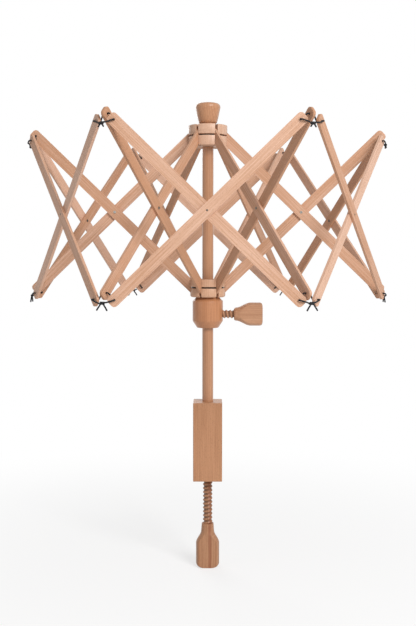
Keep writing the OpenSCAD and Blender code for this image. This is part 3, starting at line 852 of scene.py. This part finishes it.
def cord_mesh(name, path, sides=10):
    """A tube along the path, with rounded ends, and a UV of metres along and share round."""
    verts, faces, lengths = [], [], []
    side = Vector((0, 0, 1))
    walked = 0.0
    start, stop = (path[1] - path[0]).normalized(), (path[-1] - path[-2]).normalized()
    # A rounded end: how far past the path and how wide, in cord radii
    tip = ((0.6, 0.35), (0.35, 0.8))
    rings = [(path[0] - start * cord_r * past, size) for past, size in tip]
    rings += [(p, 1.0) for p in path]
    rings += [(path[-1] + stop * cord_r * past, size) for past, size in reversed(tip)]
    for i, (centre, size) in enumerate(rings):
        way = (rings[min(i + 1, len(rings) - 1)][0] - rings[max(i - 1, 0)][0]).normalized()
        side = (side - side.dot(way) * way).normalized()
        other = way.cross(side)
        if i:
            walked += (centre - rings[i - 1][0]).length
        lengths.append(walked)
        verts += [centre + cord_r * size * (cos(tau * j / sides) * side
                                            + sin(tau * j / sides) * other)
                  for j in range(sides)]
    for i in range(len(rings) - 1):
        for j in range(sides):
            k = (j + 1) % sides
            faces.append((i * sides + j, i * sides + k, (i + 1) * sides + k,
                          (i + 1) * sides + j))
    last = (len(rings) - 1) * sides
    faces.append(tuple(range(sides - 1, -1, -1)))
    faces.append(tuple(range(last, last + sides)))
    mesh = bpy.data.meshes.new(name)
    mesh.from_pydata(verts, [], faces)
    uv = mesh.uv_layers.new(name="cord")
    for face in mesh.polygons:
        face.use_smooth = True
        for place, loop in enumerate(face.loop_indices):
            ring, j = divmod(mesh.loops[loop].vertex_index, sides)
            if j == 0 and len(face.vertices) == 4 and place in (1, 2):
                j = sides
            uv.data[loop].uv = (lengths[ring], j / sides)
    return mesh


def tie_path(rib_y, left_out, right_out, hang_share):
    """From a loose end through the knot, round one slat's end and through its hole, the rib,
    the other slat and the knot. The loose ends hang by a share of a lower tie's."""
    lean = radians(30)
    knot = Vector((knot_out, 0, -slat_drop - knot_drop))
    turn, hold = {}, {}
    for side, out in ((-1, left_out), (1, right_out)):
        hole = Vector((out * cos(lean) - slat_gap * sin(lean),
                       side * (out * sin(lean) + slat_gap * cos(lean)), -slat_drop))
        way = Vector((cos(lean), side * sin(lean), 0))
        past = Vector((sin(lean), -side * cos(lean), 0))
        hold[side] = (hole + reach * way, hole, hole - reach * way)
        turn[side] = (hole + (strip_t / 2 + turn_air) * way + turn_past * past
                      - Vector((0, 0, turn_drop)))

    def twist(phase):
        """Two turns from the knot's left side to its right."""
        return [knot + Vector((coil_r * cos(phase + pi * t / 2), knot_half * (t / 4 - 1),
                               coil_r * sin(phase + pi * t / 2))) for t in range(9)]

    def tail(side):
        """A loose end, from the knot down."""
        return [knot + hang_share * Vector((0.5 * MM, side * 2.9 * MM, -2.2 * MM)),
                knot + hang_share * Vector((0.6 * MM, side * 5.4 * MM, -5.4 * MM)),
                knot + hang_share * Vector((0.8 * MM, side * 7.7 * MM, -8.7 * MM))]

    return ([*reversed(tail(-1))] + twist(pi / 2)
            + [turn[1], *hold[1], Vector((0, rib_y + reach, 0)),
               Vector((0, rib_y, 0)), Vector((0, rib_y - reach, 0)),
               *reversed(hold[-1]), turn[-1]]
            + twist(-pi / 2) + tail(1))


def slat_layer(rise, cell):
    """How far out a cell's rise slat or fall slat lies. The two change places each cell."""
    return slat_out + (rise if cell % 2 == 0 else -rise) * rib_pitch / 2


cord_finish = black_cord()
for i in range(6):
    before, after = i - 1, i
    for kind, side, hang_share in (("top", 1, 0.5), ("bottom", -1, 1)):
        mesh = cord_mesh(f"{kind}_lash_{i + 1}", smooth_path(tie_path(
            side * rib_pitch / 2, slat_layer(side, before), slat_layer(-side, after),
            hang_share)))
        mesh.transform(Matrix.Rotation(radians(60 * i), 4, "Z")
                       @ Matrix.Translation((rim, 0, pins[f"{kind}_tie_1_tilt"].z)))
        mesh.materials.append(cord_finish)
        add_piece(f"{kind}_lash_{i + 1}", mesh, f"{kind}_tie_{i + 1}",
                  f"{kind}_tie_{i + 1}")

# Floor and light
# A plain pale floor under the clamp screw, an even white surrounding, one broad soft lamp
# from the right of the camera, and two weak ones from the left and from behind.
floor_r, floor_gap = 4, 0.2 * MM
bright_from, bright_all = 0.1, 0.9
scene = bpy.context.scene
scene.view_settings.view_transform = "Standard"
bpy.ops.mesh.primitive_circle_add(vertices=96, radius=floor_r, fill_type="NGON",
                                  location=(0, 0, cad_low.z - floor_gap))
floor = bpy.context.object
floor.name = "floor"


def seen_white(tree, plain, white_kind, share=1.0):
    """What the camera and mirrors see: white by the share, over the plain shader that lights
    the object."""
    path = add_node(tree, "LightPath", {}).outputs
    seen = work_out(tree, "MAXIMUM", path["Is Camera Ray"],
                    work_out(tree, "MAXIMUM", path["Is Glossy Ray"],
                             path["Is Transmission Ray"]))
    white = add_node(tree, white_kind, {"Color": (1, 1, 1, 1)})
    return add_node(tree, "MixShader", {0: work_out(tree, "MULTIPLY", seen, share), 1: plain,
                                        2: white.outputs[0]}).outputs[0]


paint, tree, glossy = new_finish("floor_paint")
tree.nodes.remove(glossy)
matt = add_node(tree, "BsdfDiffuse", {"Color": (0.93, 0.93, 0.93, 1)}).outputs[0]
where = add_node(tree, "TexCoord", {}).outputs["Object"]
far = ramp(tree, work_out_vector(tree, "LENGTH", where), bright_from, bright_all, 0.65, 1.0)
feed(tree, tree.nodes["Material Output"], {"Surface": seen_white(tree, matt, "Emission", far)})
floor.data.materials.append(paint)

world = bpy.data.worlds.new("studio")
scene.world = world
world.use_nodes = True
tree = world.node_tree
sky = tree.nodes["Background"]
feed(tree, sky, {"Color": (1, 1, 1, 1), "Strength": 0.34})
feed(tree, tree.nodes["World Output"], {"Surface": seen_white(tree, sky.outputs[0], "Background")})

lamps_aim = Vector((0, 0, 0.25))
for name, place, size, power in (("key", (1.2, -2.0, 1.45), 1.1, 58),
                                 ("fill", (-2.0, -1.2, 0.9), 1.5, 3),
                                 ("rear", (-0.9, 2.2, 1.3), 1.5, 18)):
    lamp = bpy.data.lights.new(name, "AREA")
    lamp.shape = "SQUARE"
    lamp.size = size
    lamp.energy = power
    holder = bpy.data.objects.new(name, lamp)
    holder.location = place
    holder.rotation_euler = (Vector(place) - lamps_aim).to_track_quat("Z", "Y").to_euler()
    scene.collection.objects.link(holder)
